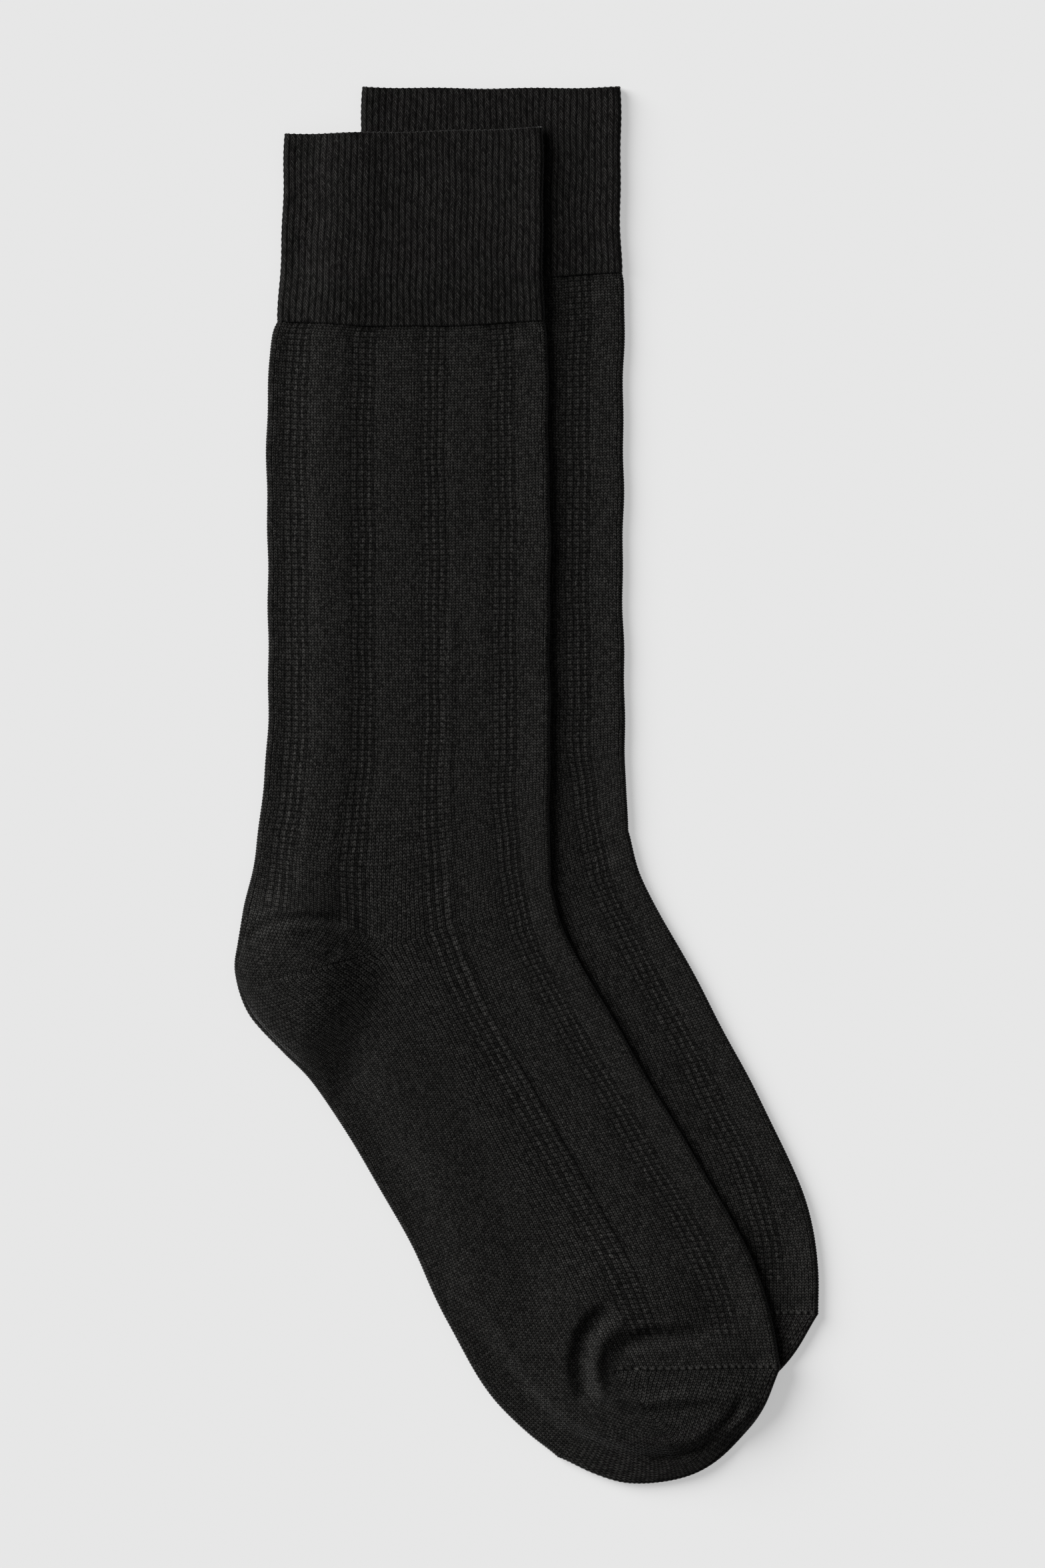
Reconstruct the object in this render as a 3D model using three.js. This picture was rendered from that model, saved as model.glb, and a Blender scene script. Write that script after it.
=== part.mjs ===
import * as THREE from 'three';

// A pair of fine-knit dress socks, laid flat in profile with one sock on top of the other.
// Millimetres, +Z up. +Y runs up the legs and +X points to the shins and toes.
// Each sock is a knitted tube pressed flat, so it has an upper and an under panel that meet in two rolled
// side folds: the back fold (calf, heel, sole) and the front fold (shin, instep).

// Cloth
const LEG_WALL = 1.0;
const CUFF_WALL = 1.3;
const PANEL_GAP = 0.4;
const SEAM_GAP = 0.3;

// Rolled side folds, a little fuller than the panels between them
const LEG_FOLD_RADIUS = 1.5;
const CUFF_FOLD_RADIUS = 1.8;
const FOLD_REACH = 8;
const FOLD_TURNS = [90, 45, 0, -45, -90];

// Relief knitted into the upper panel
const CUFF_RIBS = 42;
const RIB_HEIGHT = 0.4;
const BAND_HEIGHT = 0.2;
const BAND_MIDDLES = [0.099, 0.337, 0.591, 0.8365];
const BAND_HALF_WIDTH = 0.048;
const BAND_SHOULDER = 0.013;

// How the upper sock lies over the lower one: it slopes to the floor in a strip beside the lower sock's edge,
// wide along the leg and foot and narrow round the toes
const CLEARANCE = 0.35;
const RIB_CLEARANCE = 0.7;
const SLOPE_TOP = 4;
const LEG_SLOPE_WIDTH = 19;
const TOE_SLOPE_WIDTH = 6;
const TOE_SLOPE_START = -165;
const TOE_SLOPE_FADE = 35;
const STEP_BELOW_CUFF = 5;
const HIGHEST_CUFF_OVERLAP = 1.5;

// Shares of a panel's width at which the section tables give a point, counted from the back fold
const BACK = 0;
const SIDE = 0.24;
const PIVOT = 0.46;
const INSTEP = 0.72;
const FRONT = 1;

// Shares at which a plain panel has its points: from beside the back fold to the pivot, where the heel and toe
// end, and on to the front fold
const BESIDE_BACK = 0.03;
const BESIDE_FRONT = 0.97;
const SOLE_SHARES = [BESIDE_BACK, 0.1, 0.17, 0.24, 0.31, 0.38, 0.42, 0.446];
const INSTEP_SHARES = [PIVOT, 0.59, 0.71, 0.84, BESIDE_FRONT];

// Straight courses across the cuff and leg: the height above the heel pivot, where the course meets the back
// and front folds, how far it dips in the middle, and how much higher its front end is
const CUFF_COURSES = [
  { height: 274.5, back: -35.5, front: 51.5, dip: 0.5, rise: 2 },
  { height: 262, back: -36, front: 51.5, dip: 0.8, rise: 1.5 },
  { height: 235, back: -36.5, front: 51.5, dip: 1.3, rise: 0.5 },
  { height: 211.5, back: -38, front: 52, dip: 2, rise: 0 },
];
const LEG_COURSES = [
  { height: 211.5, back: -38, front: 52, dip: 2, rise: 0 },
  { height: 203.5, back: -40.5, front: 53, dip: 2, rise: 0 },
  { height: 175.5, back: -41.5, front: 53.5, dip: 1.5, rise: 0 },
  { height: 139.5, back: -41.5, front: 54, dip: 1, rise: 0 },
  { height: 103.5, back: -41, front: 54, dip: 1, rise: 0 },
  { height: 72, back: -41.5, front: 54, dip: 1, rise: 0 },
  { height: 51, back: -43, front: 54, dip: 1.5, rise: 3 },
];

// Bent courses of the ankle and foot, as points [x, y] from the heel pivot
const ANKLE_COURSES = [
  { back: [-45.5, 31.5], side: [-23, 28.5], pivot: [1, 28], instep: [28.5, 33.5], front: [54, 40.5] },
  { back: [-49.5, 13.5], side: [-23, 9.5], pivot: [0, 0], instep: [30, 12], front: [53.5, 21.5] },
];
const FOOT_COURSES = [
  { back: [-35.5, -36], side: [-18, -24.5], pivot: [0, 0], instep: [30, 12], front: [53.5, 21.5] },
  { back: [-26.5, -45], side: [-9, -32], pivot: [7.5, -14], instep: [36, -3.5], front: [59, 4.5] },
  { back: [-16, -60.5], side: [3, -49.5], pivot: [19, -35.5], instep: [47.5, -27], front: [72.5, -19] },
  { back: [-3.5, -81], side: [14.5, -69.5], pivot: [30.5, -57], instep: [60.5, -49.5], front: [86, -43] },
  { back: [7.5, -101.5], side: [26, -91], pivot: [42.5, -78.5], instep: [73.5, -72], front: [100.5, -66.5] },
  { back: [19.5, -126.5], side: [37, -114.5], pivot: [54, -99.5], instep: [86, -94], front: [114.5, -90] },
  { back: [35, -152], side: [51, -138], pivot: [65, -121], instep: [97, -117.5], front: [126, -115] },
  { back: [56, -172.5], side: [68, -157.5], pivot: [76.5, -142.5], instep: [104.5, -142], front: [132, -141.5] },
];

// Courses of the heel and toe pockets, which fan out round a pivot: start, half, gore, half, end
const HEEL_COURSES = [
  { back: [-49.5, 13.5], side: [-23, 9.5], pivot: [0, 0] },
  { back: [-51.5, 2], side: [-28.5, 0], pivot: [0, 0] },
  { back: [-52, -9], side: [-35.5, -9.5], pivot: [0, 0] },
  { back: [-47.5, -23], side: [-27.5, -17], pivot: [0, 0] },
  { back: [-35.5, -36], side: [-18, -24.5], pivot: [0, 0] },
];
const TOE_COURSES = [
  { back: [56, -172.5], side: [68, -157.5], pivot: [76.5, -142.5] },
  { back: [80, -180.5], side: [81.5, -163], pivot: [76.5, -142.5] },
  { back: [102.5, -177.5], side: [94.5, -166], pivot: [76.5, -142.5] },
  { back: [121.5, -162], side: [100.5, -154], pivot: [76.5, -142.5] },
  { back: [132, -141.5], side: [104.5, -142], pivot: [76.5, -142.5] },
];

// Soft folds of the upper panel: a route of points, the height at its middle (a trough's is negative)
// and the half width over which it fades
const FOLDS = [
  { route: [[70, -127], [65.5, -138], [67, -149.5], [74, -155], [83, -157]], height: 0.9, spread: 4.5 },
  { route: [[116, -158], [110, -165.5], [102.5, -170], [93.5, -171.5], [85, -171]], height: -0.3, spread: 4 },
  { route: [[-2, -8], [-4, -19], [-9, -31], [-20, -42]], height: -0.3, spread: 6 },
];

// Where each sock lies: its heel pivot, how much the foot swings in towards the leg, how much the leg bows
// back, how much shorter the leg lies, how much of the cuff's tilt it keeps, and its soft folds
const UPPER = { pivot: [-46.9, -55.1], swing: 0, bow: 0, shortening: 0, tilt: 1, folds: FOLDS };
const LOWER = { pivot: [-20.7, -37.1], swing: 15.5, bow: 1.6, shortening: 2.2, tilt: 0, folds: [] };
const SWING_START = 4.7;
const SWING_LENGTH = 157.5;
const BOW_START = 20;
const BOW_LENGTH = 190;
const LEG_LENGTH = 274.5;

const smooth = (share) => THREE.MathUtils.smoothstep(share, 0, 1);
const toPoint = ([x, y]) => new THREE.Vector2(x, y);

// A straight course of the cuff or leg as the five points of a bent one
function levelCourse({ height, back, front, dip, rise }, tilt) {
  const pointAt = (share) => {
    const sag = 4 * dip * share * (1 - share);
    const x = THREE.MathUtils.lerp(back, front, share);
    return [x, height - sag + rise * tilt * share];
  };
  return {
    back: pointAt(BACK),
    side: pointAt(SIDE),
    pivot: pointAt(PIVOT),
    instep: pointAt(INSTEP),
    front: pointAt(FRONT),
  };
}

// The value at a share of three knots, on the parabola through them
function throughThree(share, knots, points) {
  const [a, b, c] = knots;
  const weights = [
    ((share - b) * (share - c)) / ((a - b) * (a - c)),
    ((share - a) * (share - c)) / ((b - a) * (b - c)),
    ((share - a) * (share - b)) / ((c - a) * (c - b)),
  ];
  const sum = new THREE.Vector2();
  points.forEach((point, index) => sum.addScaledVector(point, weights[index]));
  return sum;
}

// A piece of the sock seen from above: smooth lines run down it through its courses
class Layout {
  constructor(courses) {
    this.last = courses.length - 1;
    this.lines = {};
    for (const column of Object.keys(courses[0])) {
      this.lines[column] = new THREE.SplineCurve(courses.map((course) => toPoint(course[column])));
    }
  }

  // The point at a share of the panel's width, on the course that lies so many table rows down
  at(row, share) {
    const down = row / this.last;
    const pick = (...columns) => columns.map((column) => this.lines[column].getPoint(down));
    if (share <= PIVOT) {
      return throughThree(share, [BACK, SIDE, PIVOT], pick('back', 'side', 'pivot'));
    }
    return throughThree(share, [PIVOT, INSTEP, FRONT], pick('pivot', 'instep', 'front'));
  }

  // The same point, drawn back by half a seam's gap where the course is the piece's first or last
  trimmed(row, share) {
    const point = this.at(row, share);
    if (row > 0 && row < this.last) {
      return point;
    }
    const shareStep = 0.004;
    const rowStep = row === 0 ? 0.05 : -0.05;
    const course = this.at(row, share + shareStep).sub(this.at(row, share - shareStep));
    const normal = new THREE.Vector2(-course.y, course.x).normalize();
    const inwards = this.at(row + rowStep, share).sub(point);
    return point.addScaledVector(normal, (Math.sign(normal.dot(inwards)) * SEAM_GAP) / 2);
  }
}

// Moves a point of the sock's own drawing to where that sock lies
function place(point, sock) {
  const drop = Math.max(0, SWING_START - point.y) / SWING_LENGTH;
  const alongBow = THREE.MathUtils.clamp((point.y - BOW_START) / BOW_LENGTH, 0, 1);
  const upLeg = Math.max(0, point.y) / LEG_LENGTH;
  const x = point.x + sock.pivot[0] - sock.swing * drop * drop - sock.bow * Math.sin(Math.PI * alongBow);
  const y = point.y + sock.pivot[1] - sock.shortening * upLeg;
  return new THREE.Vector2(x, y);
}

function makeLayouts(sock) {
  const level = (courses) => courses.map((course) => levelCourse(course, sock.tilt));
  return {
    cuff: new Layout(level(CUFF_COURSES)),
    leg: new Layout([...level(LEG_COURSES), ...ANKLE_COURSES]),
    heel: new Layout(HEEL_COURSES),
    foot: new Layout(FOOT_COURSES),
    toe: new Layout(TOE_COURSES),
  };
}

// How far a point lies from a run of straight stretches, some of which may have no length
function distanceToRoute(point, route) {
  const shortest = 1e-9;
  let nearest = Infinity;
  for (let index = 0; index + 1 < route.length; index += 1) {
    const stretch = route[index + 1].clone().sub(route[index]);
    const reach = point.clone().sub(route[index]);
    const share = THREE.MathUtils.clamp(reach.dot(stretch) / Math.max(stretch.lengthSq(), shortest), 0, 1);
    nearest = Math.min(nearest, reach.addScaledVector(stretch, -share).length());
  }
  return nearest;
}

// The outline of a sock as it lies, down the back fold and up the front one
function makeOutline(sock, layouts) {
  const stepsPerRow = 3;
  const edge = (layout, share) => {
    const points = [];
    for (let step = 0; step <= layout.last * stepsPerRow; step += 1) {
      points.push(place(layout.at(step / stepsPerRow, share), sock));
    }
    return points;
  };
  const { cuff, leg, heel, foot, toe } = layouts;
  const down = [cuff, leg, heel, foot, toe].flatMap((layout) => edge(layout, BACK));
  const up = [cuff, leg, foot].flatMap((layout) => edge(layout, FRONT)).reverse();
  return [...down, ...up, down[0]];
}

// How deep a point lies inside an outline; negative outside it
function depthInside(point, outline) {
  let inside = false;
  for (let index = 0; index + 1 < outline.length; index += 1) {
    const a = outline[index];
    const b = outline[index + 1];
    const crosses = a.y > point.y !== b.y > point.y;
    if (crosses && point.x < ((b.x - a.x) * (point.y - a.y)) / (b.y - a.y) + a.x) {
      inside = !inside;
    }
  }
  return distanceToRoute(point, outline) * (inside ? 1 : -1);
}

// Height of a flattened tube's upper face, so far in from its nearer fold
function tubeHeight(wall, foldRadius, fromFold) {
  const flat = 2 * wall + PANEL_GAP;
  const fuller = 2 * foldRadius - flat;
  return flat + fuller * (1 - smooth((fromFold - foldRadius) / FOLD_REACH));
}

const lowerLayouts = makeLayouts(LOWER);
const lowerOutline = makeOutline(LOWER, lowerLayouts);
const lowerCuffEnd = LOWER.pivot[1] + LEG_COURSES[0].height - LOWER.shortening - LEG_COURSES[0].dip;

// How high the upper sock is carried: over the lower sock, on the floor, and sloping between the two
function liftOverLower(point) {
  const depth = depthInside(point, lowerOutline);
  const toeward = smooth((TOE_SLOPE_START - point.y) / TOE_SLOPE_FADE);
  const slopeWidth = THREE.MathUtils.lerp(LEG_SLOPE_WIDTH, TOE_SLOPE_WIDTH, toeward);
  const slope = smooth((depth + SLOPE_TOP + slopeWidth) / slopeWidth);
  const onLeg = tubeHeight(LEG_WALL, LEG_FOLD_RADIUS, depth) + BAND_HEIGHT + CLEARANCE;
  const onCuff = tubeHeight(CUFF_WALL, CUFF_FOLD_RADIUS, depth) + RIB_HEIGHT + RIB_CLEARANCE;
  const belowCuff = lowerCuffEnd - HIGHEST_CUFF_OVERLAP - point.y;
  return THREE.MathUtils.lerp(onCuff, onLeg, smooth(belowCuff / STEP_BELOW_CUFF)) * slope;
}

// Height that the soft folds add to the upper panel
function foldHeight(point, folds) {
  let height = 0;
  for (const fold of folds) {
    const away = distanceToRoute(point, fold.route.map(toPoint));
    height += fold.height * (1 - smooth(away / fold.spread));
  }
  return height;
}

// Relief of the upper panel at a share of its width: ribs on a cuff, patterned bands elsewhere
function ribHeight(station) {
  return station.crest ? RIB_HEIGHT : 0;
}

function bandHeight(station) {
  return station.raised ? BAND_HEIGHT : 0;
}

// Places round a section, in order. A panel's station has a share of the width; a fold's has a turn from
// 90 degrees, where it leaves the upper panel, to -90, where it joins the under one
const upperStations = (stations) => stations.map((station) => ({ ...station, panel: 'upper' }));
const underStations = (shares) => shares.map((share) => ({ share, panel: 'under' }));
const foldStations = (share, turns) => turns.map((turn) => ({ share, turn, panel: 'fold' }));
const FRONT_FOLD = foldStations(FRONT, FOLD_TURNS);
const BACK_FOLD = foldStations(BACK, [...FOLD_TURNS].reverse());

function ribStations() {
  const stations = [];
  const count = CUFF_RIBS * 2;
  for (let index = 0; index < count; index += 1) {
    const share = THREE.MathUtils.lerp(BESIDE_BACK, BESIDE_FRONT, index / (count - 1));
    stations.push({ share, crest: index % 2 === 1 });
  }
  return stations;
}

function bandStations(middles, plainShares) {
  const stations = plainShares.map((share) => ({ share }));
  for (const middle of middles) {
    const top = BAND_HALF_WIDTH - BAND_SHOULDER;
    stations.push({ share: middle - BAND_HALF_WIDTH });
    stations.push({ share: middle - top, raised: true });
    stations.push({ share: middle + top, raised: true });
    stations.push({ share: middle + BAND_HALF_WIDTH });
  }
  return stations.sort((a, b) => a.share - b.share);
}

function tubeStations(upper) {
  const under = underStations([...SOLE_SHARES, ...INSTEP_SHARES].reverse());
  return [...upperStations(upper), ...FRONT_FOLD, ...under, ...BACK_FOLD];
}

function pocketStations() {
  const under = underStations([...SOLE_SHARES].reverse());
  return [...under, ...BACK_FOLD, ...upperStations(SOLE_SHARES.map((share) => ({ share })))];
}

// Outer and inner points of one course of a piece, all round it
function makeSection(piece, row, sock) {
  const { layout, wall, foldRadius, stations, relief } = piece;
  const drawn = (share) => layout.trimmed(row, share);
  const outer = [];
  const inner = [];
  const lift = (point) => (sock === UPPER ? liftOverLower(point) : 0);
  const add = (list, plan, height) => {
    const placed = place(plan, sock);
    list.push(new THREE.Vector3(placed.x, placed.y, height + lift(placed)));
  };
  for (const station of stations) {
    const plan = drawn(station.share);
    if (station.panel === 'fold') {
      const nearby = station.share === BACK ? BESIDE_BACK : BESIDE_FRONT;
      const inwards = drawn(nearby).sub(plan).normalize();
      const turn = THREE.MathUtils.degToRad(station.turn);
      for (const [list, radius] of [[outer, foldRadius], [inner, foldRadius - wall]]) {
        const reach = foldRadius - radius * Math.cos(turn);
        add(list, plan.clone().addScaledVector(inwards, reach), foldRadius + radius * Math.sin(turn));
      }
      continue;
    }
    if (station.panel === 'under') {
      add(outer, plan, 0);
      add(inner, plan, wall);
      continue;
    }
    const fromBack = plan.distanceTo(drawn(BACK));
    const fromFront = piece.closed ? plan.distanceTo(drawn(FRONT)) : Infinity;
    const face = tubeHeight(wall, foldRadius, Math.min(fromBack, fromFront)) + foldHeight(plan, sock.folds);
    add(outer, plan, face + relief(station));
    add(inner, plan, face - wall);
  }
  return { outer, inner };
}

// A closed wall through the sections: outer and inner faces, and the rims that join them
function wallGeometry(sections, closed) {
  const width = sections[0].outer.length;
  const innerStart = sections.length * width;
  const outerAt = (row, column) => row * width + (column % width);
  const innerAt = (row, column) => innerStart + outerAt(row, column);
  const triangles = [];
  const addQuad = (a, b, c, d) => triangles.push(a, b, c, a, c, d);
  const columns = closed ? width : width - 1;
  const lastRow = sections.length - 1;
  for (let column = 0; column < columns; column += 1) {
    const next = column + 1;
    for (let row = 0; row < lastRow; row += 1) {
      addQuad(outerAt(row, column), outerAt(row + 1, column), outerAt(row + 1, next), outerAt(row, next));
      addQuad(innerAt(row, next), innerAt(row + 1, next), innerAt(row + 1, column), innerAt(row, column));
    }
    addQuad(outerAt(0, column), outerAt(0, next), innerAt(0, next), innerAt(0, column));
    addQuad(outerAt(lastRow, next), outerAt(lastRow, column), innerAt(lastRow, column), innerAt(lastRow, next));
  }
  if (!closed) {
    const end = width - 1;
    for (let row = 0; row < lastRow; row += 1) {
      addQuad(outerAt(row + 1, 0), outerAt(row, 0), innerAt(row, 0), innerAt(row + 1, 0));
      addQuad(outerAt(row, end), outerAt(row + 1, end), innerAt(row + 1, end), innerAt(row, end));
    }
  }
  const points = [...sections.flatMap((s) => s.outer), ...sections.flatMap((s) => s.inner)];
  const geometry = new THREE.BufferGeometry().setFromPoints(points);
  geometry.setIndex(triangles);
  geometry.computeVertexNormals();
  return geometry;
}

// Knit finishes
const ribKnit = () => new THREE.MeshStandardMaterial({ color: 0x1a1918, roughness: 0.95, metalness: 0 });
const fineKnit = () => new THREE.MeshStandardMaterial({ color: 0x1e1d1c, roughness: 0.92, metalness: 0 });

// The five pieces of one sock: rows are where its sections lie, counted in rows of its table
function sockPieces(sock) {
  const layouts = makeLayouts(sock);
  const plain = { wall: LEG_WALL, foldRadius: LEG_FOLD_RADIUS, relief: bandHeight, makeMaterial: fineKnit };
  return {
    cuff: {
      layout: layouts.cuff, wall: CUFF_WALL, foldRadius: CUFF_FOLD_RADIUS, relief: ribHeight, closed: true,
      stations: tubeStations(ribStations()), rows: [0, 1, 2, 3], makeMaterial: ribKnit,
    },
    leg: {
      ...plain, layout: layouts.leg, closed: true, rows: [0, 0.5, 1, 2, 3.5, 5, 6, 7, 7.5, 8],
      stations: tubeStations(bandStations(BAND_MIDDLES, [BESIDE_BACK, 0.22, PIVOT, 0.71, BESIDE_FRONT])),
    },
    heel: {
      ...plain, layout: layouts.heel, closed: false, rows: [0, 0.5, 1, 1.5, 2, 2.5, 3, 3.5, 4],
      stations: pocketStations(),
    },
    foot: {
      ...plain, layout: layouts.foot, closed: true, rows: [0, 0.5, 1, 1.5, 2, 3, 4, 5, 5.5, 6, 6.5, 7],
      stations: tubeStations(
        bandStations(BAND_MIDDLES.slice(2), [...SOLE_SHARES, PIVOT, 0.5, 0.71, 0.93, BESIDE_FRONT]),
      ),
    },
    toe: {
      ...plain, layout: layouts.toe, closed: false, rows: [0, 0.4, 0.8, 1.2, 1.6, 2, 2.4, 2.8, 3.2, 3.6, 4],
      stations: pocketStations(),
    },
  };
}

// The pair stands on the floor with the origin under its middle
function centre(group) {
  const middle = new THREE.Box3().setFromObject(group).getCenter(new THREE.Vector3());
  group.position.set(-middle.x, -middle.y, 0);
}

const pair = new THREE.Group();
for (const [sockName, sock] of [['upper', UPPER], ['lower', LOWER]]) {
  for (const [pieceName, piece] of Object.entries(sockPieces(sock))) {
    const sections = piece.rows.map((row) => makeSection(piece, row, sock));
    const mesh = new THREE.Mesh(wallGeometry(sections, piece.closed), piece.makeMaterial());
    mesh.name = `${sockName}_${pieceName}`;
    pair.add(mesh);
  }
}
centre(pair);

export default pair;
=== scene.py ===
"""A pair of fine-knit dress socks, laid flat in profile with one sock on top of the other.

Lengths are metres, but for the course tables, which are millimetres as a knitter's chart is. +Y runs up the
legs, +X points to the shins and toes and +Z is up. Each sock is a knitted tube pressed flat: its upper and
under panels meet in a rolled back fold (calf, heel, sole) and a rolled front fold (shin, instep).
A place on the cloth is told by its share of the panel's width, counted from the back fold, and by its row in
a table of courses.
"""

import enum
import logging
import math
from dataclasses import dataclass, field, replace

import bpy
import numpy as np
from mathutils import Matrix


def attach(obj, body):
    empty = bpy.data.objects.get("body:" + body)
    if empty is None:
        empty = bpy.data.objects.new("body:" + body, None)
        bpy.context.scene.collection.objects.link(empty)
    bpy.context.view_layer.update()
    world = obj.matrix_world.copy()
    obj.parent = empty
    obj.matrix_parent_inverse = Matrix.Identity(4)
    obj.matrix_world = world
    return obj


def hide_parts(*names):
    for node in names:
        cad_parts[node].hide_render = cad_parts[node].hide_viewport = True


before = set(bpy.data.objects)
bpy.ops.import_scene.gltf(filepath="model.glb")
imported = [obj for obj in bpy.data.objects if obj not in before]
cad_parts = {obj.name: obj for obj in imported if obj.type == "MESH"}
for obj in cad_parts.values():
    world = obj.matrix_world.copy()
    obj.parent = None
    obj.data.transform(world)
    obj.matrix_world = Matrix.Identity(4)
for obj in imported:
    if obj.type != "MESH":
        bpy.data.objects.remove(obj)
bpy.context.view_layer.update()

LOG = logging.getLogger("socks")
BODY = "root"
MM = 0.001

# Shares of a panel's width at which the course tables give a point
BACK = 0.0
SIDE = 0.24
PIVOT = 0.46
INSTEP = 0.72
FRONT = 1.0
BESIDE_FOLD = 0.02

# A hair's breadth, in table rows, by which neighbouring pieces stay apart
LEAST_FADED = 0.1
HAIR_ROWS = 0.00002


class Panel(enum.Enum):
    """The four stretches round a flattened tube, in the order in which they follow each other."""

    UPPER = "upper"
    FRONT_FOLD = "front_fold"
    UNDER = "under"
    BACK_FOLD = "back_fold"


def smooth(share: np.ndarray) -> np.ndarray:
    """A soft step from 0 to 1 as share goes from 0 to 1."""
    t = np.clip(share, 0.0, 1.0)
    return t * t * (3.0 - 2.0 * t)


def lerp(low: float, high: float, share: np.ndarray) -> np.ndarray:
    """The value a share of the way from low to high."""
    return low + (high - low) * share


@dataclass(frozen=True)
class Level:
    """A straight course across the cuff or leg, in millimetres from the heel pivot."""

    height: float
    back: float
    front: float
    dip: float
    rise: float

    def bent(self, tilt: float) -> "Course":
        """The same course as the five points of a bent one.

        Args:
            tilt: How much of the course's rise towards the front the sock keeps.

        Returns:
            The bent course.
        """

        def point(share: float) -> tuple:
            sag = 4.0 * self.dip * share * (1.0 - share)
            return (lerp(self.back, self.front, share), self.height - sag + self.rise * tilt * share)

        return Course(point(BACK), point(SIDE), point(PIVOT), point(INSTEP), point(FRONT))


@dataclass(frozen=True)
class Course:
    """A bent course as points (x, y) in millimetres from the heel pivot; a pocket's ends at the pivot."""

    back: tuple
    side: tuple
    pivot: tuple
    instep: tuple = None
    front: tuple = None


CUFF_LEVELS = (
    Level(height=274.5, back=-35.5, front=51.5, dip=0.5, rise=2.0),
    Level(height=262.0, back=-36.0, front=51.5, dip=0.8, rise=1.5),
    Level(height=235.0, back=-36.5, front=51.5, dip=1.3, rise=0.5),
    Level(height=211.5, back=-38.0, front=52.0, dip=2.0, rise=0.0),
)
LEG_LEVELS = (
    Level(height=211.5, back=-38.0, front=52.0, dip=2.0, rise=0.0),
    Level(height=203.5, back=-40.5, front=53.0, dip=2.0, rise=0.0),
    Level(height=175.5, back=-41.5, front=53.5, dip=1.5, rise=0.0),
    Level(height=139.5, back=-41.5, front=54.0, dip=1.0, rise=0.0),
    Level(height=103.5, back=-41.0, front=54.0, dip=1.0, rise=0.0),
    Level(height=72.0, back=-41.5, front=54.0, dip=1.0, rise=0.0),
    Level(height=51.0, back=-43.0, front=54.0, dip=1.5, rise=3.0),
)
#       back             side             pivot            instep           front
ANKLE_COURSES = (
    Course((-45.5, 31.5), (-23.0, 28.5), (1.0, 28.0), (28.5, 33.5), (54.0, 40.5)),
    Course((-49.5, 13.5), (-23.0, 9.5), (0.0, 0.0), (30.0, 12.0), (53.5, 21.5)),
)
FOOT_COURSES = (
    Course((-35.5, -36.0), (-18.0, -24.5), (0.0, 0.0), (30.0, 12.0), (53.5, 21.5)),
    Course((-26.5, -45.0), (-9.0, -32.0), (7.5, -14.0), (36.0, -3.5), (59.0, 4.5)),
    Course((-16.0, -60.5), (3.0, -49.5), (19.0, -35.5), (47.5, -27.0), (72.5, -19.0)),
    Course((-3.5, -81.0), (14.5, -69.5), (30.5, -57.0), (60.5, -49.5), (86.0, -43.0)),
    Course((7.5, -101.5), (26.0, -91.0), (42.5, -78.5), (73.5, -72.0), (100.5, -66.5)),
    Course((19.5, -126.5), (37.0, -114.5), (54.0, -99.5), (86.0, -94.0), (114.5, -90.0)),
    Course((35.0, -152.0), (51.0, -138.0), (65.0, -121.0), (97.0, -117.5), (126.0, -115.0)),
    Course((56.0, -172.5), (68.0, -157.5), (76.5, -142.5), (104.5, -142.0), (132.0, -141.5)),
)
HEEL_COURSES = (
    Course((-49.5, 13.5), (-23.0, 9.5), (0.0, 0.0)),
    Course((-51.5, 2.0), (-28.5, 0.0), (0.0, 0.0)),
    Course((-52.0, -9.0), (-35.5, -9.5), (0.0, 0.0)),
    Course((-47.5, -23.0), (-27.5, -17.0), (0.0, 0.0)),
    Course((-35.5, -36.0), (-18.0, -24.5), (0.0, 0.0)),
)
TOE_COURSES = (
    Course((56.0, -172.5), (68.0, -157.5), (76.5, -142.5)),
    Course((80.0, -180.5), (81.5, -163.0), (76.5, -142.5)),
    Course((102.5, -177.5), (94.5, -166.0), (76.5, -142.5)),
    Course((121.5, -162.0), (100.5, -154.0), (76.5, -142.5)),
    Course((132.0, -141.5), (104.5, -142.0), (76.5, -142.5)),
)


@dataclass(frozen=True)
class Knit:
    """The gauge of the cloth and how it is built up."""

    wales: int = 84
    wale_width: float = 1.08 * MM
    course_height: float = 0.945 * MM
    rib_course_height: float = 1.1 * MM
    leg_wall: float = 1.0 * MM
    cuff_wall: float = 1.3 * MM
    panel_gap: float = 0.4 * MM
    leg_fold_radius: float = 1.5 * MM
    cuff_fold_radius: float = 1.8 * MM
    fold_reach: float = 8.0 * MM
    cuff_ribs: int = 42
    rib_height: float = 0.14 * MM
    band_height: float = 0.15 * MM
    crown_height: float = 0.35 * MM


@dataclass(frozen=True)
class Bands:
    """The beaded bands that run down the leg, and two of them down the instep."""

    middles: tuple = (0.099, 0.337, 0.591, 0.8365)
    half_width: float = 0.052
    shoulder: float = 0.006
    bead_pitch: float = 0.0266
    beaded_half_width: float = 0.04
    courses_per_bead: float = 2.0
    fading_courses: float = 3.0
    crown_width: float = 0.035
    groove: float = 0.0415
    line_width: float = 0.0055


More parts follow.
